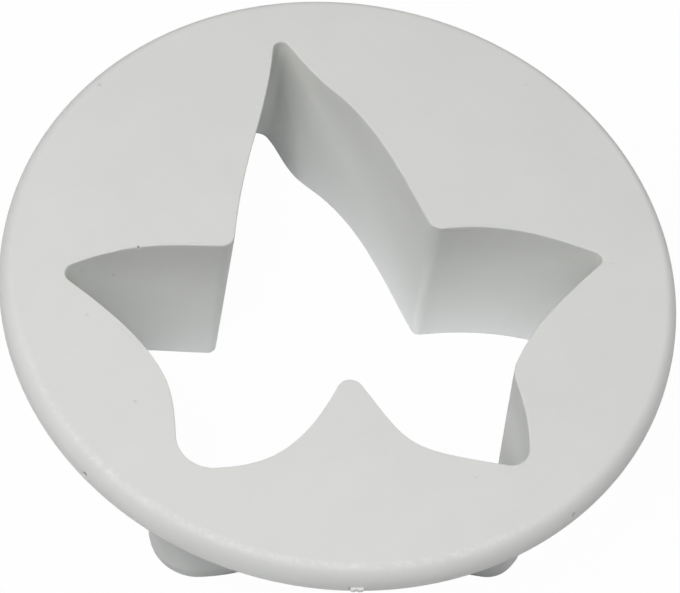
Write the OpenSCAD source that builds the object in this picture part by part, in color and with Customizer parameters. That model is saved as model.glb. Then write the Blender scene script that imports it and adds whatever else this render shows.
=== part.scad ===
/* [Flange] */
// Least width of the flange outside the bend round the wall's root
flange_border = 0.9; // [0.5:0.1:6]
// Thickness of the flange
flange_t = 2.8; // [1.8:0.1:3.5]
// Radius of the rounded upper edge of the rim
rim_top_r = 1.2; // [0.6:0.1:1.3]
// Radius of the small lower edge of the rim
rim_foot_r = 0.3; // [0.1:0.05:0.4]
// Width of the rim band, from its inner seam to the outer edge
rim_w = 2; // [1.4:0.1:2.4]

/* [Leaf opening] */
// Width of the leaf between the tips of its two side lobes
leaf_w = 47.5; // [40:0.5:56]
// Length of the leaf from its tip to the bottom of its lower lobes
leaf_l = 45; // [38:0.5:54]
// Rounding of the leaf tip
leaf_tip_r = 0.75; // [0.5:0.05:1]
// Rounding of the left side lobe's tip
left_tip_r = 1; // [0.6:0.05:1.4]
// Rounding of the right side lobe's tip
right_tip_r = 0.7; // [0.6:0.05:1.4]
// Rounding of the lower left lobe
lower_left_r = 3.1; // [2:0.1:3.4]
// Rounding of the lower right lobe
lower_right_r = 1.7; // [1.4:0.1:2.4]
// Rounding of the sharp corners beside the top lobe
shoulder_r = 1.3; // [0.8:0.1:1.8]
// Rounding of the soft corner above the lower right lobe
waist_r = 3; // [2:0.1:4]
// Rounding of the notch between the two lower lobes
notch_r = 1.2; // [0.8:0.1:1.6]

/* [Blade] */
// Height of the whole cutter, from the cutting edge to the top of the flange
total_h = 18.3; // [14:0.1:22]
// How far the inner face leans outwards over the height of the blade
flare_w = 0.5; // [0.2:0.05:0.6]
// Wall thickness where the blade leaves the flange
root_wall = 1.6; // [1.4:0.05:1.8]
// Rounding that the root's outer face adds at the lobes' tips
root_round = 0.75; // [0.6:0.05:1.2]
// Wall thickness where the bevel of the cutting edge starts
bevel_wall = 0.8; // [0.65:0.05:0.9]
// Width of the land that presses on the paste
edge_land = 0.5; // [0.3:0.05:0.6]
// Height of the bevelled cutting edge
bevel_h = 1.6; // [1:0.1:2.5]
// Radius of the fillet between the blade and the underside of the flange
root_fillet_r = 0.8; // [0.5:0.1:1]

/* [Gate mark] */
// Width of the moulding gate's stub on the rim
gate_w = 1.2; // [0.8:0.1:1.6]
// Height of the stub
gate_h = 0.5; // [0.3:0.1:0.8]
// How far the stub stands out of the rim
gate_reach = 0.25; // [0.1:0.05:0.4]

/* [Hidden] */

// Moulded white plastic, with the surfaces that face down a little darker
top_colour = "#d9dad5";
wall_colour = "#b4b6b6";
edge_colour = "#a4a6a6";

// Smallest inside rounding that the mould leaves
least_r = 0.15;
// Segments of a full circle, of the rim's roundings, of a leaf corner, of a leaf side and of a fillet
round_fn = 180;
rim_fn = 32;
corner_steps = 10;
side_steps = 14;
fillet_steps = 4;

// Height of the blade below the flange
blade_h = total_h - flange_t;
// Bearing of the gate stub round the rim
gate_angle = -94;

// Knots of the leaf's outline, clockwise from the left shoulder. Each has its place as shares of leaf_w and
// leaf_l, the direction in which the outline arrives and leaves in degrees, its rounding, the two handle
// shares of the side that leaves it, and the shares of the inner face's lean that its two sides take
knots_shares = [
    [-0.193, 0.08, -5, 79, shoulder_r, 0.33, 0.33, 0, 0],
    [-0.125, 0.338, 70, 70, 0, 0.33, 0.33, 2.5, 2.5],
    [-0.0605, 0.585, 79, -60, leaf_tip_r, 0.33, 0.335, 2.2, 2.1],
    [-0.0056, 0.4874, -56.7, -56.7, 0, 0.335, 0.33, 1.15, 1.15],
    [0.034, 0.433, -47, -47, 0, 0.33, 0.33, 1.6, 1.6],
    [0.183, 0.099, -71, 3, shoulder_r, 0.42, 0.33, 0.95, 0],
    [0.505, 0.017, -26, -139.5, right_tip_r, 0.33, 0.33, 1.5, 1.15],
    [0.291, -0.232, -118, -80, waist_r, 0.33, 0.33, 1.65, 1.65],
    [0.293, -0.449, -99, -194, lower_right_r, 0.62, 0.5, 1.4, 1.05],
    [-0.012, -0.206, -241.5, -122, notch_r, 0.55, 0.32, 1.1, 1.1],
    [-0.347, -0.412, -180, -273, lower_left_r, 0.33, 0.33, 0.5, 0.5],
    [-0.35, -0.208, -253, -253, 0, 0.33, 0.33, 1, 1],
    [-0.528, 0.045, -225, -340, left_tip_r, 0.42, 0.38, 1.5, 1.5]
];
left_shoulder_index = 0;
right_shoulder_index = 5;
waist_index = 7;
notch_index = 9;
left_waist_index = 11;
knot_count = len(knots_shares);
whole_leaf = [left_shoulder_index, left_shoulder_index + knot_count];

// The flange's outer radius, from the furthest reach of the wall's root, and the radius where its rim starts
root_reach = max([for (p = stretch(whole_leaf, [0, root_wall, root_round])) norm(p)]);
flange_r = root_reach + root_fillet_r + flange_border;
plate_r = flange_r - rim_w;

// One knot, counted round and round the leaf, with its turn in degrees, which is negative at a lobe's tip
function knot(i) = knots_shares[i % knot_count];
function turn(k) = k[3] - k[2];
function heading(a) = [cos(a), sin(a)];
function outward(a) = [-sin(a), cos(a)];

// A line round the leaf is moved outwards by a lean and a wall, at = [lean, wall, rounding]: each side of a
// knot takes its own share of the lean, which also rounds the lobes' tips and sharpens the hollows, and the
// rounding is added at the tips. This gives a knot's sharp corner on such a line, where its two moved sides
// meet, its radius there, and how far its arc reaches along both sides.
function corner(k, at) =
    let (
        a = outward(k[2]),
        b = outward(k[3]),
        out_a = at[0] * k[7] + at[1],
        out_b = at[0] * k[8] + at[1],
        c = a * b
    )
    [k[0] * leaf_w, k[1] * leaf_l] +
    (turn(k) == 0 ? out_a * a : ((out_a - c * out_b) * a + (out_b - c * out_a) * b) / (1 - c * c));
function radius(k, at) =
    turn(k) == 0 ? 0 : turn(k) < 0 ? k[4] + at[0] + at[2] : max(k[4] - at[0] - at[1], least_r);
function reach(k, at) = radius(k, at) * tan(abs(turn(k)) / 2);

// Points of a knot's arc between two of its steps
function arc(k, at, first, last) =
    turn(k) == 0 ? [corner(k, at)] :
    let (
        r = radius(k, at) * sign(turn(k)),
        centre = corner(k, at) - reach(k, at) * heading(k[2]) + r * outward(k[2])
    )
    [for (i = [first:last]) centre - r * outward(k[2] + turn(k) * i / corner_steps)];

// Points along the side from one knot to the next, without its two ends
function side(k, n, at) =
    let (
        p = corner(k, at) + reach(k, at) * heading(k[3]),
        s = corner(n, at) - reach(n, at) * heading(n[2]),
        q = p + norm(s - p) * k[5] * heading(k[3]),
        r = s - norm(s - p) * k[6] * heading(n[2])
    )
    [for (i = [1:side_steps - 1]) let (t = i / side_steps, u = 1 - t)
        u * u * u * p + 3 * u * u * t * q + 3 * u * t * t * r + t * t * t * s];

// The outline over a span, from the middle of its first knot to the middle of its last
function stretch(span, at) = concat(
    arc(knot(span[0]), at, corner_steps / 2, corner_steps),
    [for (i = [span[0] + 1:span[1] - 1]) each concat(
        side(knot(i - 1), knot(i), at), arc(knot(i), at, 0, corner_steps))],
    side(knot(span[1] - 1), knot(span[1]), at),
    arc(knot(span[1]), at, 0, corner_steps / 2)
);

// The same line once round, without the point that closes it
function without_last(points) = [for (i = [0:len(points) - 2]) points[i]];

// The inner face's lean, the wall's thickness and the outside rounding at a height above the cutting edge
function lean_at(z) = flare_w * (blade_h - z) / blade_h;
function wall_at(z) = z < bevel_h ?
    edge_land + (bevel_wall - edge_land) * z / bevel_h :
    bevel_wall + (root_wall - bevel_wall) * (z - bevel_h) / (blade_h - bevel_h);
function round_at(z) = edge_land + (root_round - edge_land) * z / blade_h;

// Lines of points on the inner face, and on the outer face or beyond it, at a height
function raised(points, z) = [for (p = points) [p[0], p[1], z]];
function inner_line(span, z) = raised(stretch(span, [lean_at(z), 0, 0]), z);
function outer_line(span, z, beyond = 0) =
    raised(stretch(span, [lean_at(z), wall_at(z) + beyond, round_at(z) + beyond]), z);

// A solid whose section has one corner on each of the given lines, closed on itself or with two ends
module swept(lines, closed) {
    n = len(lines[0]);
    m = len(lines);
    faces = [for (j = [0:m - 1], i = [0:closed ? n - 1 : n - 2]) let (
        a = j * n + i,
        b = j * n + (i + 1) % n,
        c = (j + 1) % m * n + (i + 1) % n,
        d = (j + 1) % m * n + i
    ) each [[a, b, c], [a, c, d]]];
    ends = closed ? [] : [for (j = [1:m - 2]) each [
        [0, j * n, (j + 1) * n], [n - 1, (j + 1) * n + n - 1, j * n + n - 1]]];
    polyhedron([for (l = lines) each l], concat(faces, ends));
}

// The flat of the flange, pierced by the leaf
module flange_plate() {
    color(top_colour) translate([0, 0, blade_h]) linear_extrude(flange_t) difference() {
        circle(r = plate_r, $fn = round_fn);
        polygon(without_last(stretch(whole_leaf, [0, 0, 0])));
    }
}

// The rounded band round the flange
module flange_rim() {
    color(top_colour) rotate_extrude($fn = round_fn) {
        translate([plate_r, blade_h]) square([rim_w - rim_top_r, flange_t]);
        translate([plate_r, blade_h]) square([rim_w - rim_foot_r, flange_t - rim_top_r]);
        translate([plate_r, blade_h + rim_foot_r]) square([rim_w, flange_t - rim_top_r - rim_foot_r]);
        translate([flange_r - rim_top_r, total_h - rim_top_r]) circle(r = rim_top_r, $fn = rim_fn);
        translate([flange_r - rim_foot_r, blade_h + rim_foot_r]) circle(r = rim_foot_r, $fn = rim_fn);
    }
}

// The trimmed stub that the moulding gate leaves on the rim
module gate_stub() {
    color(top_colour) rotate([0, 0, gate_angle]) difference() {
        translate([plate_r, -gate_w / 2, blade_h + rim_foot_r]) cube([rim_w + gate_reach, gate_w, gate_h]);
        cylinder(r = flange_r, h = total_h, $fn = round_fn);
    }
}

// The hollow bend between the blade and the underside of the flange
module root_fillet() {
    foot = blade_h - root_fillet_r;
    bend = [for (i = [0:fillet_steps]) let (a = 90 * i / fillet_steps)
        without_last(outer_line(whole_leaf, foot + root_fillet_r * sin(a), root_fillet_r * (1 - cos(a))))];
    color(wall_colour) swept(concat([without_last(outer_line(whole_leaf, blade_h))], bend), closed = true);
}

// The blade's wall round a lobe, from the bevel up to the flange
module lobe_wall(span) {
    color(wall_colour) swept([
        inner_line(span, bevel_h),
        outer_line(span, bevel_h),
        outer_line(span, blade_h - root_fillet_r),
        outer_line(span, blade_h),
        inner_line(span, blade_h)
    ], closed = false);
}

module top_lobe_wall() lobe_wall([left_shoulder_index, right_shoulder_index]);
module right_lobe_wall() lobe_wall([right_shoulder_index, waist_index]);
module lower_right_lobe_wall() lobe_wall([waist_index, notch_index]);
module lower_left_lobe_wall() lobe_wall([notch_index, left_waist_index]);
module left_lobe_wall() lobe_wall([left_waist_index, left_shoulder_index + knot_count]);

// The bevelled end of the blade, down to the land that presses through the paste
module cutting_edge() {
    color(edge_colour) swept([for (line = [
        inner_line(whole_leaf, 0),
        outer_line(whole_leaf, 0),
        outer_line(whole_leaf, bevel_h),
        inner_line(whole_leaf, bevel_h)
    ]) without_last(line)], closed = true);
}

flange_plate();
flange_rim();
root_fillet();
top_lobe_wall();
right_lobe_wall();
lower_right_lobe_wall();
lower_left_lobe_wall();
left_lobe_wall();
cutting_edge();
gate_stub();
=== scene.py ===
import math
from typing import NamedTuple

import bmesh
import bpy
import numpy as np
from mathutils import Matrix, Vector, noise
from mathutils.geometry import delaunay_2d_cdt


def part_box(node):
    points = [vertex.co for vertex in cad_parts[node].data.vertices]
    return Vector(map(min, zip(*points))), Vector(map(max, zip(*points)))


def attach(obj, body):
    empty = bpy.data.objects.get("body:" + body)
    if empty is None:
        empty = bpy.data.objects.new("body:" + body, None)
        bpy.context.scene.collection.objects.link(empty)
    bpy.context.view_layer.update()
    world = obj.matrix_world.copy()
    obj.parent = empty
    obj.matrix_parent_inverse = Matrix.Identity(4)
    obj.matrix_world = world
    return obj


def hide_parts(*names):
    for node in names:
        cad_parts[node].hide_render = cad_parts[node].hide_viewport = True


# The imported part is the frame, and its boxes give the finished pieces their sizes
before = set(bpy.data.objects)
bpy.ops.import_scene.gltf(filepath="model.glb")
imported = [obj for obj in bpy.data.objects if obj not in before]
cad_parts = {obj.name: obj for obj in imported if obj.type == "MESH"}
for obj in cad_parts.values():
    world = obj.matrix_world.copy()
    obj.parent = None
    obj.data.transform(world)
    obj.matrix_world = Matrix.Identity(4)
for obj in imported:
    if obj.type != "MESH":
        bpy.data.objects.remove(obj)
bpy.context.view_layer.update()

MM = 0.001


# Sizes in millimetres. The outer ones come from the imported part
def box_mm(node):
    low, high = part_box(node)
    return np.array(low) / MM, np.array(high) / MM


plate_low, plate_high = box_mm("flange_plate")
plate_r = plate_high[0]
total_h = plate_high[2]
blade_h = plate_low[2]
flange_r = box_mm("flange_rim")[1][0]
bevel_h = box_mm("cutting_edge")[1][2]
fillet_foot_h = box_mm("root_fillet")[0][2]
stub_low_h, stub_high_h = (corner_mm[2] for corner_mm in box_mm("gate_stub"))

# The leaf and its wall have the sizes of the part's own source
leaf_w, leaf_l = 47.5, 45.0
leaf_tip_r, left_tip_r, right_tip_r = 0.75, 1.0, 0.7
lower_left_r, lower_right_r = 3.1, 1.7
shoulder_r, waist_r, notch_r = 1.3, 3.0, 1.2
flare_w = 0.5
root_wall, bevel_wall, edge_land = 1.6, 0.8, 0.5
root_round, least_r = 0.75, 0.15
rim_foot_r = 0.3
gate_w, gate_reach, gate_bearing = 1.2, 0.25, -94.0

# What moulding and trimming leave: the rim's true curve, small edge breaks, a faint lip at the opening's
# shoulders, and the curve of the wall's flare below the flange
rim_top_w, rim_top_drop = 1.15, 2.2
opening_break_r = 0.13
lip_h, lip_reach = 0.045, 8.0
land_break_r = 0.12
flare_power = 1.12

# How far beside a rounded edge the next points lie, so that they hold the flat face's shading flat
hold_w = 0.06

# How finely the shapes are drawn: steps along each part of a line, and the flat faces' grid in millimetres
CORNER_STEPS = 40
SIDE_STEPS = 72
WALL_ROWS = 14
BREAK_STEPS = 10
RIM_SEGMENTS = 900
FACE_GRID = 1.6
SMOOTH_ANGLE = math.radians(32)


class Knot(NamedTuple):
    """A knot of the leaf's outline, placed by shares of its width and length. It has two directions in
    degrees, a rounding, two handle shares of the side that leaves it, and two sides' shares of the flare."""
    x_share: float
    y_share: float
    arrives: float
    leaves: float
    rounding: float
    out_share: float
    in_share: float
    flare_arriving: float
    flare_leaving: float

    @property
    def turn(self):
        return self.leaves - self.arrives


KNOTS = [Knot(*row) for row in (
    (-0.193, 0.08, -5, 79, shoulder_r, 0.33, 0.33, 0, 0),
    (-0.125, 0.338, 70, 70, 0, 0.33, 0.33, 2.5, 2.5),
    (-0.0605, 0.585, 79, -60, leaf_tip_r, 0.33, 0.335, 2.2, 2.1),
    (-0.0056, 0.4874, -56.7, -56.7, 0, 0.335, 0.33, 1.15, 1.15),
    (0.034, 0.433, -47, -47, 0, 0.33, 0.33, 1.6, 1.6),
    (0.183, 0.099, -71, 3, shoulder_r, 0.42, 0.33, 0.95, 0),
    (0.505, 0.017, -26, -139.5, right_tip_r, 0.33, 0.33, 1.5, 1.15),
    (0.291, -0.232, -118, -80, waist_r, 0.33, 0.33, 1.65, 1.65),
    (0.293, -0.449, -99, -194, lower_right_r, 0.62, 0.5, 1.4, 1.05),
    (-0.012, -0.206, -241.5, -122, notch_r, 0.55, 0.32, 1.1, 1.1),
    (-0.347, -0.412, -180, -273, lower_left_r, 0.33, 0.33, 0.5, 0.5),
    (-0.35, -0.208, -253, -253, 0, 0.33, 0.33, 1, 1),
    (-0.528, 0.045, -225, -340, left_tip_r, 0.42, 0.38, 1.5, 1.5),
)]
LEFT_SHOULDER, RIGHT_SHOULDER, WAIST, NOTCH, LEFT_WAIST = 0, 5, 7, 9, 11

# The first and the last knot of the whole outline and of each lobe's wall
WHOLE_LEAF = (LEFT_SHOULDER, LEFT_SHOULDER + len(KNOTS))
LOBES = {
    "top_lobe_wall": (LEFT_SHOULDER, RIGHT_SHOULDER),
    "right_lobe_wall": (RIGHT_SHOULDER, WAIST),
    "lower_right_lobe_wall": (WAIST, NOTCH),
    "lower_left_lobe_wall": (NOTCH, LEFT_WAIST),
    "left_lobe_wall": (LEFT_WAIST, LEFT_SHOULDER + len(KNOTS)),
}


# The outline. A line round the leaf moves outwards by a flare and a wall. The flare also rounds the lobes'
# tips, and both sharpen the hollows. A rounding of its own is added at the tips
class Offset(NamedTuple):
    """How far a line lies outside the opening's upper edge, and how much rounding it adds at the tips."""
    flare: float = 0.0
    wall: float = 0.0
    rounding: float = 0.0


def heading(degrees):
    """A step of 1 in a direction."""
    return np.array([math.cos(math.radians(degrees)), math.sin(math.radians(degrees))])


def outward(degrees):
    """A step of 1 to the left of a direction, away from the leaf, because its outline runs clockwise."""
    return np.array([-math.sin(math.radians(degrees)), math.cos(math.radians(degrees))])


def corner(knot, at):
    """Where a knot's two sides meet, once each has moved outwards."""
    a, b = outward(knot.arrives), outward(knot.leaves)
    place = np.array([knot.x_share * leaf_w, knot.y_share * leaf_l])
    out_a = at.flare * knot.flare_arriving + at.wall
    out_b = at.flare * knot.flare_leaving + at.wall
    if knot.turn == 0:
        return place + out_a * a
    cosine = a @ b
    return place + ((out_a - cosine * out_b) * a + (out_b - cosine * out_a) * b) / (1 - cosine * cosine)


def radius(knot, at):
    """The radius of a knot's rounding. A tip's grows outwards, and a hollow's shrinks."""
    if knot.turn == 0:
        return 0.0
    if knot.turn < 0:
        return knot.rounding + at.flare + at.rounding
    return max(knot.rounding - at.flare - at.wall, least_r)


def reach(knot, at):
    """How much of each side a knot's rounding takes up."""
    return radius(knot, at) * math.tan(math.radians(abs(knot.turn)) / 2)


def arc(knot, at, first, last):
    """Points of a knot's rounding from one of its steps to another."""
    if knot.turn == 0:
        return [corner(knot, at)]
    r = radius(knot, at) * math.copysign(1, knot.turn)
    centre = corner(knot, at) - reach(knot, at) * heading(knot.arrives) + r * outward(knot.arrives)
    steps = range(first, last + 1)
    return [centre - r * outward(knot.arrives + knot.turn * i / CORNER_STEPS) for i in steps]


def side(knot, after, at):
    """Points of the cubic curve between two knots' roundings, without its ends."""
    p = corner(knot, at) + reach(knot, at) * heading(knot.leaves)
    s = corner(after, at) - reach(after, at) * heading(after.arrives)
    span = np.linalg.norm(s - p)
    q = p + span * knot.out_share * heading(knot.leaves)
    r = s - span * knot.in_share * heading(after.arrives)
    return [
        (1 - t) ** 3 * p + 3 * (1 - t) ** 2 * t * q + 3 * (1 - t) * t * t * r + t ** 3 * s
        for t in np.arange(1, SIDE_STEPS) / SIDE_STEPS]


def stretch(span, at):
    """Points of the outline from the middle of a span's first knot to the middle of its last."""
    first, last = span
    knots = [KNOTS[i % len(KNOTS)] for i in range(first, last + 1)]
    points = arc(knots[0], at, CORNER_STEPS // 2, CORNER_STEPS)
    for before, knot in zip(knots, knots[1:-1]):
        points += side(before, knot, at) + arc(knot, at, 0, CORNER_STEPS)
    points += side(knots[-2], knots[-1], at) + arc(knots[-1], at, 0, CORNER_STEPS // 2)
    return np.array(points)


# Sizes of the wall at a height above the cutting edge
def flare_at(z):
    return flare_w * ((total_h - z) / total_h) ** flare_power


def wall_at(z):
    if z < bevel_h:
        return edge_land + (bevel_wall - edge_land) * z / bevel_h
    return bevel_wall + (root_wall - bevel_wall) * (z - bevel_h) / (blade_h - bevel_h)


def round_at(z):
    return edge_land + (root_round - edge_land) * z / blade_h


def line_at(span, z, wall=0.0, rounding=0.0):
    """A line of points at a height, on the inner face or a wall's thickness outside it."""
    points = stretch(span, Offset(flare_at(z), wall, rounding))
    return np.column_stack([points, np.full(len(points), z)])


def inner_line(span, z):
    return line_at(span, z)


def outer_line(span, z, beyond=0.0):
    return line_at(span, z, wall_at(z) + beyond, round_at(z) + beyond)


def ring(line):
    """The same line once round, without the point that closes it."""
    return line[:-1]


# Meshes
def finished(name, points_mm, faces, inner_faces=0):
    """A closed mesh object in metres at the origin, with its faces outwards and its hard edges kept. The
    first faces may be those inside the opening, which take the second material, with its painted glow."""
    mesh = bpy.data.meshes.new(name)
    mesh.from_pydata([tuple(p) for p in np.asarray(points_mm) * MM], [], faces)
    for face in mesh.polygons[:inner_faces]:
        face.material_index = 1
    shell = bmesh.new()
    shell.from_mesh(mesh)
    bmesh.ops.recalc_face_normals(shell, faces=shell.faces)
    shell.to_mesh(mesh)
    shell.free()
    return shown(name, mesh)


def shown(name, mesh):
    """An object of a mesh, smooth but for its hard edges, put in the scene."""
    mesh.shade_smooth()
    mesh.set_sharp_from_angle(angle=SMOOTH_ANGLE)
    piece = bpy.data.objects.new(name, mesh)
    bpy.context.scene.collection.objects.link(piece)
    return piece


def swept(name, lines, closed, inner_lines=1):
    """A solid whose section has one corner on each of the given lines, closed on itself or with two ends.
    Its first lines may be those inside the opening."""
    corners, length = len(lines), len(lines[0])
    faces = []
    for j in range(corners):
        here, there = j * length, (j + 1) % corners * length
        for i in range(length if closed else length - 1):
            after = (i + 1) % length
            faces.append((here + i, here + after, there + after, there + i))
    inner_faces = len(faces) // corners * (inner_lines - 1)
    if not closed:
        faces.append([j * length for j in range(corners)])
        faces.append([j * length + length - 1 for j in range(corners)])
    return finished(name, np.concatenate(lines), faces, inner_faces)


def heights(low, high, rows):
    """Even steps from one height to another, both ends included."""
    return np.linspace(low, high, rows + 1)


def lobe_wall(name, span):
    """The wall of one lobe, from the bevel to the underside of the flange."""
    inner_rows = heights(bevel_h, blade_h, WALL_ROWS)
    outer_rows = heights(bevel_h, fillet_foot_h, WALL_ROWS).tolist() + [blade_h]
    inner = [inner_line(span, z) for z in inner_rows[::-1]]
    outer = [outer_line(span, z) for z in outer_rows]
    return swept(name, inner + outer, closed=False, inner_lines=len(inner))


def rounding_angles(steps):
    """Angles of a quarter turn in radians, from 0 up."""
    return [math.pi / 2 * i / steps for i in range(steps + 1)]


def cutting_edge(name):
    """The bevelled end, with the two edges of its land a little rounded."""
    r = land_break_r
    inner = [inner_line(WHOLE_LEAF, z) for z in heights(bevel_h, r, WALL_ROWS // 3)[:-1]]
    inner_break = [line_at(WHOLE_LEAF, r - r * math.sin(a), r - r * math.cos(a), r - r * math.cos(a))
                   for a in rounding_angles(BREAK_STEPS // 2)]
    outer_break = []
    for a in rounding_angles(BREAK_STEPS // 2):
        out = edge_land - r + r * math.sin(a)
        outer_break.append(line_at(WHOLE_LEAF, r - r * math.cos(a), out, out))
    outer = [outer_line(WHOLE_LEAF, z) for z in heights(r, bevel_h, WALL_ROWS // 3)[1:]]
    return swept(name, [ring(line) for line in inner + inner_break + outer_break + outer], closed=True,
                 inner_lines=len(inner) + len(inner_break))


def root_fillet(name):
    """The hollow bend between the wall's outer face and the underside of the flange."""
    r = blade_h - fillet_foot_h
    bend = [outer_line(WHOLE_LEAF, fillet_foot_h + r * math.sin(a), r - r * math.cos(a))
            for a in rounding_angles(BREAK_STEPS)]
    return swept(name, [ring(line) for line in [outer_line(WHOLE_LEAF, blade_h)] + bend], closed=True)


def inside(points, outline):
    """Which of the points lie inside a closed outline."""
    x, y = points[:, 0, None], points[:, 1, None]
    x0, y0 = outline[None, :, 0], outline[None, :, 1]
    x1, y1 = np.roll(outline, -1, axis=0)[None, :, 0], np.roll(outline, -1, axis=0)[None, :, 1]
    crosses = (y0 > y) != (y1 > y)
    rise = np.where(y1 == y0, 1.0, y1 - y0)
    return (crosses & (x < (x1 - x0) * (y - y0) / rise + x0)).sum(axis=1) % 2 == 1


def flat_between(opening, edge, spacing):
    """Triangles of a flat face between an opening and a round edge, and the extra points that they use."""
    measured_every = 4
    weld_mm = 1e-6
    steps = np.arange(-plate_r, plate_r, spacing)
    grid = np.array([[x + spacing / 2 * (k % 2), y] for k, y in enumerate(steps) for x in steps])
    clear = np.linalg.norm(grid, axis=1) < plate_r - spacing / 2
    gaps = np.linalg.norm(grid[:, None] - opening[None, ::measured_every], axis=2).min(axis=1)
    grid = grid[clear & (gaps > spacing / 2) & ~inside(grid, opening)]
    flat = np.concatenate([opening, edge, grid])
    loops = [(i, (i + 1) % len(opening)) for i in range(len(opening))]
    loops += [(len(opening) + i, len(opening) + (i + 1) % len(edge)) for i in range(len(edge))]
    triangles = np.array(delaunay_2d_cdt([Vector(p) for p in flat], loops, [], 0, weld_mm)[2])
    centres = flat[triangles].mean(axis=1)
    return triangles[~inside(centres, opening)], grid


def flange_plate(name):
    """The pierced disc: the opening's wall and edge break, the two flat faces and the seam to the rim."""
    r = opening_break_r
    rings = [ring(inner_line(WHOLE_LEAF, z)) for z in heights(blade_h, total_h - r, WALL_ROWS // 3)[:-1]]
    shoulders = [corner(KNOTS[k], Offset()) for k in (LEFT_SHOULDER, RIGHT_SHOULDER)]
    for a in rounding_angles(BREAK_STEPS):
        out = r - r * math.cos(a)
        line = ring(line_at(WHOLE_LEAF, total_h - r + r * math.sin(a), out, out))
        away = np.min([np.linalg.norm(line[:, :2] - s, axis=1) for s in shoulders], axis=0)
        line[:, 2] += lip_h * math.sin(a) ** 2 * np.exp(-(away / lip_reach) ** 2)
        rings.append(line)
    rings += [ring(line_at(WHOLE_LEAF, total_h, out, out)) for out in (r + hold_w, r + 3 * hold_w)]
    # The seam has every second point of the rim, so that the two lie on the same circle
    turn = np.arange(RIM_SEGMENTS // 2) * 4 * math.pi / RIM_SEGMENTS
    circle = plate_r * np.column_stack([np.cos(turn), np.sin(turn)])
    rings += [np.column_stack([circle, np.full(len(circle), z)]) for z in (total_h, blade_h)]
    starts = np.cumsum([0] + [len(line) for line in rings])
    faces = []
    for j in range(len(rings) - 1):
        # The opening's last ring and the seam differ in length, and the upper face joins them
        if len(rings[j]) != len(rings[j + 1]):
            continue
        for i in range(len(rings[j])):
            after = (i + 1) % len(rings[j])
            faces.append((starts[j] + i, starts[j] + after, starts[j + 1] + after, starts[j + 1] + i))
    points = np.concatenate(rings)
    # The upper face runs from the opening's last ring to the top of the seam, and the lower face from its
    # first ring to the seam's foot
    for opening, edge, z in ((len(rings) - 3, len(rings) - 2, total_h), (0, len(rings) - 1, blade_h)):
        triangles, grid = flat_between(rings[opening][:, :2], circle, FACE_GRID)
        own = np.concatenate([
            starts[opening] + np.arange(len(rings[opening])), starts[edge] + np.arange(len(circle)),
            len(points) + np.arange(len(grid))])
        faces += [tuple(own[t]) for t in triangles]
        points = np.concatenate([points, np.column_stack([grid, np.full(len(grid), z)])])
    return finished(name, points, [[int(i) for i in face] for face in faces])


# Node trees
def add(tree, kind, inputs=None, **settings):
    """Adds a node, with its settings and its inputs, each a constant or another node's output."""
    node = tree.nodes.new(kind)
    for key, value in settings.items():
        setattr(node, key, value)
    for key, value in (inputs or {}).items():
        if isinstance(value, bpy.types.NodeSocket):
            tree.links.new(value, node.inputs[key])
        else:
            node.inputs[key].default_value = value
    return node


def rim_section():
    """The rim's section, points of radius and height in millimetres from seam over top to foot."""
    points = [(plate_r, blade_h), (plate_r, total_h)]
    points += [(flange_r - rim_top_w - hold_w, total_h)]
    points += [(flange_r - rim_top_w * (1 - math.sin(a)), total_h - rim_top_drop * (1 - math.cos(a)))
               for a in rounding_angles(2 * BREAK_STEPS)]
    side_top, side_foot = total_h - rim_top_drop, blade_h + rim_foot_r
    points += [(flange_r, z) for z in heights(side_top, side_foot, BREAK_STEPS // 2)[1:-1]]
    points += [(flange_r - rim_foot_r * (1 - math.cos(a)), side_foot - rim_foot_r * math.sin(a))
               for a in rounding_angles(BREAK_STEPS)]
    return points


def turned_rim_tree(plastic):
    """Turns the rim's section round the flange's axis."""
    tree = bpy.data.node_groups.new("turned_rim", "GeometryNodeTree")
    tree.interface.new_socket(name="Section", in_out="INPUT", socket_type="NodeSocketGeometry")
    tree.interface.new_socket(name="Flange radius", in_out="INPUT", socket_type="NodeSocketFloat")
    tree.interface.new_socket(name="Segments", in_out="INPUT", socket_type="NodeSocketInt")
    tree.interface.new_socket(name="Rim", in_out="OUTPUT", socket_type="NodeSocketGeometry")
    given = add(tree, "NodeGroupInput")
    section = add(tree, "GeometryNodeMeshToCurve", {"Mesh": given.outputs["Section"]})
    round_path = add(tree, "GeometryNodeCurvePrimitiveCircle",
                     {"Radius": given.outputs["Flange radius"], "Resolution": given.outputs["Segments"]})
    upright = add(tree, "GeometryNodeSetCurveNormal", {"Curve": round_path.outputs["Curve"]}, mode="Z_UP")
    turned = add(tree, "GeometryNodeCurveToMesh",
                 {"Curve": upright.outputs["Curve"], "Profile Curve": section.outputs["Curve"]})
    real = add(tree, "GeometryNodeRealizeInstances", {"Geometry": turned.outputs["Mesh"]})
    coated = add(tree, "GeometryNodeSetMaterial",
                 {"Geometry": real.outputs["Geometry"], "Material": plastic})
    add(tree, "NodeGroupOutput", {"Rim": coated.outputs["Geometry"]})
    return tree


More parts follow.
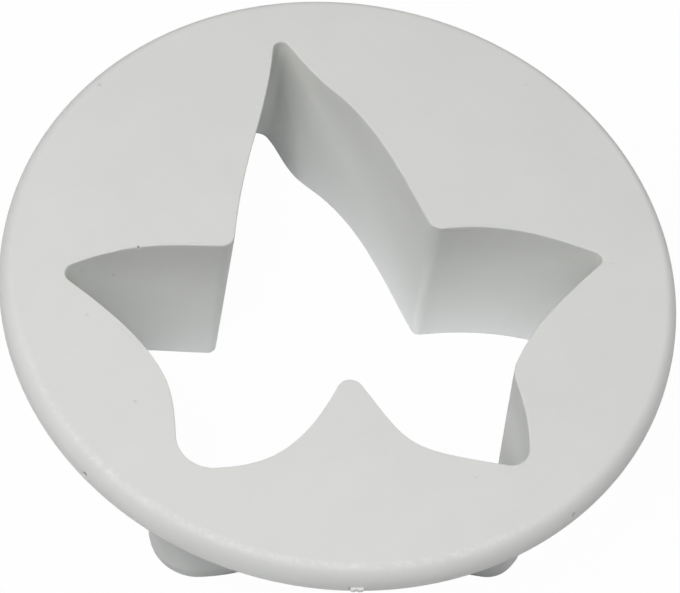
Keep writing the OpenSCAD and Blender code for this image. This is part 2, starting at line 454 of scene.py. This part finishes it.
def flange_rim(name, plastic):
    """The rounded band round the flange, turned from its section by Geometry Nodes."""
    section = bpy.data.meshes.new(name)
    # Along the path, the section's x runs outwards from it and its y downwards
    corners = [((r - flange_r) * MM, -z * MM, 0) for r, z in rim_section()]
    section.from_pydata(corners, [(i, (i + 1) % len(corners)) for i in range(len(corners))], [])
    blank = bpy.data.objects.new(name + "_section", section)
    bpy.context.scene.collection.objects.link(blank)
    tree = turned_rim_tree(plastic)
    turning = blank.modifiers.new("turning", "NODES")
    turning.node_group = tree
    sockets = {item.name: item.identifier for item in tree.interface.items_tree if item.in_out == "INPUT"}
    turning[sockets["Flange radius"]] = flange_r * MM
    turning[sockets["Segments"]] = RIM_SEGMENTS
    depsgraph = bpy.context.evaluated_depsgraph_get()
    mesh = bpy.data.meshes.new_from_object(blank.evaluated_get(depsgraph))
    bpy.data.objects.remove(blank)
    shell = bmesh.new()
    shell.from_mesh(mesh)
    bmesh.ops.recalc_face_normals(shell, faces=shell.faces)
    shell.to_mesh(mesh)
    shell.free()
    return shown(name, mesh)


def at_bearing(bearing, r, z):
    """A point by its bearing from the X axis in degrees, its radius and its height."""
    return np.array([r * math.cos(math.radians(bearing)), r * math.sin(math.radians(bearing)), z])


def press(piece, place, width, push):
    """Pushes a small round area of a piece by a vector, all in millimetres."""
    vertices = piece.data.vertices
    points = np.empty(len(vertices) * 3)
    vertices.foreach_get("co", points)
    points = points.reshape(-1, 3)
    away = np.linalg.norm(points / MM - np.array(place), axis=1)
    points += np.exp(-(2 * away / width) ** 2)[:, None] * np.array(push) * MM
    vertices.foreach_set("co", points.ravel())
    piece.data.update()


def gate_stub(name):
    """The stub of the gate, sheared off by hand: a small rough block, two lumps wide. Its face bulges from a
    least share, dips between the lumps and is torn unevenly, and its ends are drawn in a little."""
    cells_across, cells_up, cells_out = 24, 10, 6
    least_bulge = 0.3
    dip, dip_across, dip_w = 0.45, -0.1, 0.22
    torn_share, torn_lumps, torn_place = 0.22, 3, 7
    end_share, middle_share = 0.94, 0.06
    inner_r = flange_r - rim_foot_r
    shell = bmesh.new()
    bmesh.ops.create_grid(shell, x_segments=cells_across, y_segments=cells_up, size=0.5)
    made = bmesh.ops.extrude_face_region(shell, geom=shell.faces[:])
    top = [v for v in made["geom"] if isinstance(v, bmesh.types.BMVert)]
    bmesh.ops.translate(shell, verts=top, vec=(0, 0, 1))
    sides = [e for e in shell.edges if abs(e.verts[0].co.z - e.verts[1].co.z) > 0.5]
    bmesh.ops.subdivide_edges(shell, edges=sides, cuts=cells_out)
    for v in shell.verts:
        across, up, out = v.co.x * 2, v.co.y * 2, v.co.z
        round_off = (1 - across ** 4) ** 0.5 * (1 - up ** 4) ** 0.5 if max(abs(across), abs(up)) < 1 else 0
        waist = 1 - dip * math.exp(-((across - dip_across) / dip_w) ** 2)
        torn = 1 + torn_share * noise.noise(Vector((across * torn_lumps, up * torn_lumps, torn_place)))
        bulge = least_bulge + (1 - least_bulge) * round_off
        depth = inner_r + out * (rim_foot_r + gate_reach * bulge * waist * torn)
        width_share = end_share + middle_share * round_off
        bearing = gate_bearing + math.degrees(across * gate_w / 2 * width_share / flange_r)
        height = (stub_low_h + stub_high_h) / 2 + up * (stub_high_h - stub_low_h) / 2
        v.co = Vector(at_bearing(bearing, depth, height)) * MM
    bmesh.ops.recalc_face_normals(shell, faces=shell.faces)
    mesh = bpy.data.meshes.new(name)
    shell.to_mesh(mesh)
    shell.free()
    return shown(name, mesh)


# Materials
def linear(hex_colour, alpha=1.0):
    """A hex colour in sRGB as linear numbers."""
    parts = [int(hex_colour[i:i + 2], 16) / 255 for i in (0, 2, 4)]
    return [c / 12.92 if c <= 0.04045 else ((c + 0.055) / 1.055) ** 2.4 for c in parts] + [alpha]


def per_mm(size_mm):
    """A texture's scale for a pattern of a size in millimetres."""
    return 1 / (size_mm * MM)


class Spot(NamedTuple):
    """A small mark: its middle and half lengths on X, Y and Z in millimetres, and how much it darkens."""
    centre: tuple
    half: tuple
    depth: float


def spot_mask(tree, place, spot):
    """Rises from 0 at the rim of a spot to its depth in the middle."""
    scale = [per_mm(half) for half in spot.half]
    centred = add(tree, "ShaderNodeMapping", {
        "Vector": place, "Scale": scale, "Location": [-c * MM * s for c, s in zip(spot.centre, scale)]})
    away = add(tree, "ShaderNodeVectorMath", {0: centred.outputs["Vector"]}, operation="LENGTH")
    return add(tree, "ShaderNodeMapRange", {
        "Value": away.outputs["Value"], "From Min": 0.5, "From Max": 1.0,
        "To Min": spot.depth, "To Max": 0.0}, interpolation_type="SMOOTHSTEP").outputs["Result"]


# Painted highlight: light flecks where the rim's rounding starts and catches the light at the front. How
# far the middle of their band lies beyond that start, the two half widths between which it fades, the size
# of a fleck, and how strong they are. Towards the front they start at one share of the flange's radius and
# are full at another
HIGHLIGHT_BEYOND_MM, HIGHLIGHT_CORE_MM, HIGHLIGHT_END_MM = 0.15, 0.1, 0.5
HIGHLIGHT_FLECK_MM = 0.45
HIGHLIGHT_STRENGTH = 0.24
HIGHLIGHT_TOWARDS = (-0.35, -0.94, 0)
HIGHLIGHT_STARTS, HIGHLIGHT_FULL = 0.35, 0.8

# Scorched specks: the size of the cells that may hold one, the share of cells that hold none, the two radii
# between which a speck fades as shares of a cell, and how strong it is
SPECK_CELL_MM = 3.2
NO_SPECK_SHARE = 0.86
SPECK_CORE, SPECK_END = 0.03, 0.07
SPECK_STRENGTH = 0.2

# The size of the plastic's faint clouds, how far they change its roughness, the colour of the painted
# highlight, and the colour of the specks and of the spots' painted shade
CLOUD_MM = 5
ROUGHNESS_SWING = 0.04
HIGHLIGHT_PAINT = "f6f7f4"
SCORCH_AND_SHADE = "6f6e6a"


def painted_highlight_mask(tree, place):
    """Painted highlight: tiny light flecks along the front of the rim, where its rounding starts and
    catches the light. They are too fine to show at their true size, so they are drawn coarser."""
    level = add(tree, "ShaderNodeMapping", {"Vector": place, "Scale": (1, 1, 0)}).outputs["Vector"]
    away = add(tree, "ShaderNodeVectorMath", {0: level}, operation="LENGTH").outputs["Value"]
    middle = (flange_r - rim_top_w + HIGHLIGHT_BEYOND_MM) * MM
    off = add(tree, "ShaderNodeMath", {0: away, 1: middle}, operation="SUBTRACT")
    apart = add(tree, "ShaderNodeMath", {0: off.outputs["Value"]}, operation="ABSOLUTE")
    band = add(tree, "ShaderNodeMapRange", {
        "Value": apart.outputs["Value"], "From Min": HIGHLIGHT_CORE_MM * MM, "From Max": HIGHLIGHT_END_MM * MM,
        "To Min": HIGHLIGHT_STRENGTH, "To Max": 0.0})
    highlight_flecks = add(tree, "ShaderNodeTexNoise", {"Vector": place, "Scale": per_mm(HIGHLIGHT_FLECK_MM), "Detail": 1.0})
    chosen = add(tree, "ShaderNodeMapRange", {
        "Value": highlight_flecks.outputs["Fac"], "From Min": 0.4, "From Max": 0.65})
    ahead = add(tree, "ShaderNodeVectorMath", {0: level, 1: HIGHLIGHT_TOWARDS}, operation="DOT_PRODUCT")
    front = add(tree, "ShaderNodeMapRange", {
        "Value": ahead.outputs["Value"], "From Min": HIGHLIGHT_STARTS * flange_r * MM,
        "From Max": HIGHLIGHT_FULL * flange_r * MM})
    where = add(tree, "ShaderNodeMath", {
        0: band.outputs["Result"], 1: front.outputs["Result"]}, operation="MULTIPLY")
    return add(tree, "ShaderNodeMath", {
        0: where.outputs["Value"], 1: chosen.outputs["Result"]}, operation="MULTIPLY").outputs["Value"]


def white_abs(name, light, dark, roughness, grain_mm, grain_height_mm, painted_glow=None, painted_rim_highlight=False, spots=()):
    """White ABS as an injection mould leaves it. The eye sees an almost matt, very even white, faintly
    cloudy, with the fine grain of the mould's steel and a few dull specks of scorched resin. A painted glow
    may lighten the colour towards the wall's thin edge, for light let through the wall, a painted highlight
    may lie along the rim, and spots may add painted shade. The grain and the specks are too fine to show at
    their true size, so they are drawn coarser."""
    material = bpy.data.materials.new(name)
    material.use_nodes = True
    tree = material.node_tree
    tree.nodes.clear()
    place = add(tree, "ShaderNodeTexCoord").outputs["Object"]
    clouds = add(tree, "ShaderNodeTexNoise", {
        "Vector": place, "Scale": per_mm(CLOUD_MM), "Detail": 4.0, "Roughness": 0.6})
    tone = add(tree, "ShaderNodeMapRange", {
        "Value": clouds.outputs["Fac"], "From Min": 0.35, "From Max": 0.65})
    colour = add(tree, "ShaderNodeMix", {
        "Factor": tone.outputs["Result"], "A": linear(dark), "B": linear(light)},
        data_type="RGBA").outputs["Result"]
    # Painted glow: the colour lightens towards the wall's thin bottom edge, for light let through the wall
    if painted_glow:
        height = add(tree, "ShaderNodeSeparateXYZ", {"Vector": place}).outputs["Z"]
        glow_by_height = add(tree, "ShaderNodeMapRange", {
            "Value": height, "From Min": 0.0, "From Max": blade_h * MM, "To Min": 1.0, "To Max": 0.0})
        colour = add(tree, "ShaderNodeMix", {
            "Factor": glow_by_height.outputs["Result"], "A": colour, "B": linear(painted_glow)},
            data_type="RGBA").outputs["Result"]
    # A painted highlight along the front of the rim's rounding
    if painted_rim_highlight:
        colour = add(tree, "ShaderNodeMix", {
            "Factor": painted_highlight_mask(tree, place), "A": colour, "B": linear(HIGHLIGHT_PAINT)},
            data_type="RGBA").outputs["Result"]
    specks = add(tree, "ShaderNodeTexVoronoi", {"Vector": place, "Scale": per_mm(SPECK_CELL_MM)})
    chosen = add(tree, "ShaderNodeSeparateColor", {"Color": specks.outputs["Color"]})
    rare = add(tree, "ShaderNodeMath", {
        0: chosen.outputs["Red"], 1: NO_SPECK_SHARE}, operation="GREATER_THAN")
    small = add(tree, "ShaderNodeMapRange", {
        "Value": specks.outputs["Distance"], "From Min": SPECK_CORE, "From Max": SPECK_END,
        "To Min": SPECK_STRENGTH, "To Max": 0.0})
    mark = add(tree, "ShaderNodeMath", {
        0: rare.outputs["Value"], 1: small.outputs["Result"]}, operation="MULTIPLY").outputs["Value"]
    # Spots darken the colour: painted shade in hollows and in the gap by the gate, and flat marks
    for spot in spots:
        mark = add(tree, "ShaderNodeMath", {
            0: mark, 1: spot_mask(tree, place, spot)}, operation="MAXIMUM").outputs["Value"]
    marked = add(tree, "ShaderNodeMix", {"Factor": mark, "A": colour, "B": linear(SCORCH_AND_SHADE)},
                 data_type="RGBA").outputs["Result"]
    grain = add(tree, "ShaderNodeTexNoise", {"Vector": place, "Scale": per_mm(grain_mm), "Detail": 2.0})
    bump = add(tree, "ShaderNodeBump", {
        "Height": grain.outputs["Fac"], "Distance": grain_height_mm * MM, "Strength": 1.0})
    sheen = add(tree, "ShaderNodeMapRange", {
        "Value": clouds.outputs["Fac"], "To Min": roughness - ROUGHNESS_SWING,
        "To Max": roughness + ROUGHNESS_SWING})
    surface = add(tree, "ShaderNodeBsdfPrincipled", {
        "Base Color": marked, "Roughness": sheen.outputs["Result"], "IOR": 1.53, "Specular IOR Level": 0.2,
        "Normal": bump.outputs["Normal"]})
    add(tree, "ShaderNodeOutputMaterial", {"Surface": surface.outputs["BSDF"]})
    return material


def floor_material():
    """Matt white paper. The camera sees it almost as bright as the backdrop, with the shadow kept faint."""
    material = bpy.data.materials.new("white_paper_floor")
    material.use_nodes = True
    tree = material.node_tree
    tree.nodes.clear()
    glow_share = 0.98
    path = add(tree, "ShaderNodeLightPath")
    share = add(tree, "ShaderNodeMath", {
        0: path.outputs["Is Camera Ray"], 1: glow_share}, operation="MULTIPLY")
    paper = add(tree, "ShaderNodeBsdfDiffuse", {"Color": linear("d3d4d6")})
    glow = add(tree, "ShaderNodeEmission", {"Color": linear("ffffff"), "Strength": 1.0})
    mix = add(tree, "ShaderNodeMixShader", {
        0: share.outputs["Value"], 1: paper.outputs["BSDF"], 2: glow.outputs["Emission"]})
    add(tree, "ShaderNodeOutputMaterial", {"Surface": mix.outputs["Shader"]})
    return material


# The pieces, each in place of the node of its name
def place_piece(piece, node, *materials):
    for material in materials:
        if material.name not in piece.data.materials:
            piece.data.materials.append(material)
    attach(piece, "root")
    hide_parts(node)


# Small marks of handling and trimming that the photograph shows. Each nick has a place, a width and a push
# in millimetres
RIM_NICKS = (
    ((-24.33, -17.5, 16.35), 0.5, (0.14, 0.11, 0.04)),
    ((17.5, -24.24, 16.8), 0.5, (-0.06, 0.1, 0)),
)
EDGE_NICKS = (
    ((-19.9, 3.65, 18.3), 0.9, (0, -0.04, 0)),
    ((-19.0, 3.85, 18.3), 0.8, (0, 0.05, 0)),
    ((-17.57, 4.0, 18.3), 0.35, (0, 0.12, -0.1)),
    ((9.6, 4.55, 18.25), 0.6, (0, -0.05, 0.03)),
)
# Darker spots: painted shade in the hollows of those nicks and in the gap beside the gate, and the marks
# that lie flat
SPOTS = (
    Spot((-24.33, -17.5, 16.4), (0.3, 0.3, 0.26), 0.95),
    Spot((17.45, -24.22, 16.9), (0.24, 0.24, 0.5), 0.3),
    Spot((-17.57, 4.04, 18.2), (0.14, 0.16, 0.2), 0.7),
    Spot((24.26, 0.06, 18.3), (0.35, 0.14, 0.2), 0.07),
    Spot((-2.78, -29.95, 16.1), (0.16, 0.3, 0.5), 0.32),
    Spot((11.0, 4.55, 17.75), (1.6, 0.3, 0.09), 0.12),
    Spot((-19.48, 3.84, 14.1), (0.16, 0.2, 0.2), 0.28),
    Spot((-19.2, 3.84, 13.5), (0.3, 0.2, 0.06), 0.1),
)


def build_cutter():
    """All ten pieces: a painted glow inside the thin walls, the torn stub rough and paler, the rest as
    moulded.
    """
    as_moulded = {
        "light": "dcddda", "dark": "dadbd8", "roughness": 0.6, "grain_mm": 0.3, "grain_height_mm": 0.004,
        "spots": SPOTS}
    moulded_abs = white_abs("white_abs_moulded", painted_rim_highlight=True, **as_moulded)
    glow_painted_abs = white_abs("white_abs_painted_glow", painted_glow="f8f9f8", **as_moulded)
    torn_abs = white_abs(
        "white_abs_sheared_gate", light="e4e5e2", dark="d6d7d3", roughness=0.7, grain_mm=0.12,
        grain_height_mm=0.02)
    flange = flange_plate("pierced_flange")
    for nick in EDGE_NICKS:
        press(flange, *nick)
    place_piece(flange, "flange_plate", moulded_abs)
    rim = flange_rim("rounded_rim", moulded_abs)
    for nick in RIM_NICKS:
        press(rim, *nick)
    place_piece(rim, "flange_rim", moulded_abs)
    for node, span in LOBES.items():
        place_piece(lobe_wall(node.replace("_wall", "_blade"), span), node, moulded_abs, glow_painted_abs)
    place_piece(root_fillet("blade_root_bend"), "root_fillet", moulded_abs)
    place_piece(cutting_edge("bevelled_edge"), "cutting_edge", moulded_abs, glow_painted_abs)
    place_piece(gate_stub("sheared_gate"), "gate_stub", torn_abs)


# The studio
def build_floor():
    half = 1.6
    corners = [(-half, -half, 0), (half, -half, 0), (half, half, 0), (-half, half, 0)]
    mesh = bpy.data.meshes.new("floor")
    mesh.from_pydata(corners, [], [(0, 1, 2, 3)])
    floor = bpy.data.objects.new("floor", mesh)
    floor.data.materials.append(floor_material())
    bpy.context.scene.collection.objects.link(floor)


def direction(azimuth, elevation):
    """The way back from the cutter to a camera or lamp. Azimuth 0 is in front, and 90 to the right."""
    a, e = math.radians(azimuth), math.radians(elevation)
    return Vector((math.sin(a) * math.cos(e), -math.cos(a) * math.cos(e), math.sin(e)))


def soft_lamp(name, azimuth, elevation, distance, size, power):
    """A round lamp that points at the cutter. Distance and size are in metres, and power is in watts."""
    data = bpy.data.lights.new(name, "AREA")
    data.shape = "DISK"
    data.size = size
    data.energy = power
    lamp = bpy.data.objects.new(name, data)
    lamp.location = direction(azimuth, elevation) * distance
    lamp.rotation_mode = "QUATERNION"
    lamp.rotation_quaternion = (-lamp.location).to_track_quat("-Z", "Y")
    bpy.context.scene.collection.objects.link(lamp)


def build_light():
    """A soft key from the upper left, seven fills, and a backdrop that is white to the camera alone."""
    world = bpy.data.worlds.new("studio")
    world.use_nodes = True
    tree = world.node_tree
    tree.nodes.clear()
    path = add(tree, "ShaderNodeLightPath")
    backdrop = add(tree, "ShaderNodeBackground", {
        "Color": linear("ffffff"), "Strength": path.outputs["Is Camera Ray"]})
    add(tree, "ShaderNodeOutputWorld", {"Surface": backdrop.outputs["Background"]})
    bpy.context.scene.world = world
    soft_lamp("key", azimuth=-45, elevation=65, distance=0.45, size=0.08, power=0.605)
    soft_lamp("left_fill", azimuth=-67, elevation=52, distance=0.45, size=0.26, power=0.66)
    soft_lamp("front_fill", azimuth=0, elevation=52, distance=0.45, size=0.26, power=0.355)
    soft_lamp("low_front_fill", azimuth=0, elevation=18, distance=0.7, size=0.3, power=0.06)
    soft_lamp("right_fill", azimuth=90, elevation=40, distance=1.3, size=0.7, power=3.0)
    soft_lamp("low_right_fill", azimuth=90, elevation=18, distance=0.7, size=0.3, power=0.76)
    soft_lamp("back_fill", azimuth=-135, elevation=22, distance=0.7, size=0.3, power=1.1)
    soft_lamp("far_fill", azimuth=155, elevation=10, distance=0.7, size=0.3, power=0.55)
    bpy.context.scene.view_settings.view_transform = "Standard"


# The photograph is 680 pixels wide, and its view was found from the flange's outline. Angles are in degrees
# and the view's distance is in metres
PHOTO_W = 680
FOCAL_PX = 5697.4
VIEW_AZIMUTH, VIEW_ELEVATION, VIEW_ROLL = -17.0, 57.74, 11.83
VIEW_DISTANCE = 0.5
AIM_RIGHT_MM, AIM_DOWN_MM = -0.17, 1.75
SENSOR_MM = 36.0


def build_camera():
    data = bpy.data.cameras.new("camera")
    data.sensor_width = SENSOR_MM
    data.lens = FOCAL_PX * SENSOR_MM / PHOTO_W
    data.clip_start = 0.01
    data.clip_end = 10
    back = direction(VIEW_AZIMUTH, VIEW_ELEVATION)
    level_right = Vector((0, 0, 1)).cross(back).normalized()
    level_up = back.cross(level_right)
    roll = math.radians(VIEW_ROLL)
    right = level_right * math.cos(roll) + level_up * math.sin(roll)
    up = back.cross(right)
    aim = Vector((0, 0, total_h * MM)) + (right * AIM_RIGHT_MM - up * AIM_DOWN_MM) * MM
    camera = bpy.data.objects.new("camera", data)
    turned = Matrix((right, up, back)).transposed().to_4x4()
    camera.matrix_world = Matrix.Translation(aim + back * VIEW_DISTANCE) @ turned
    bpy.context.scene.collection.objects.link(camera)
    bpy.context.scene.camera = camera


build_camera()
build_cutter()
build_floor()
build_light()
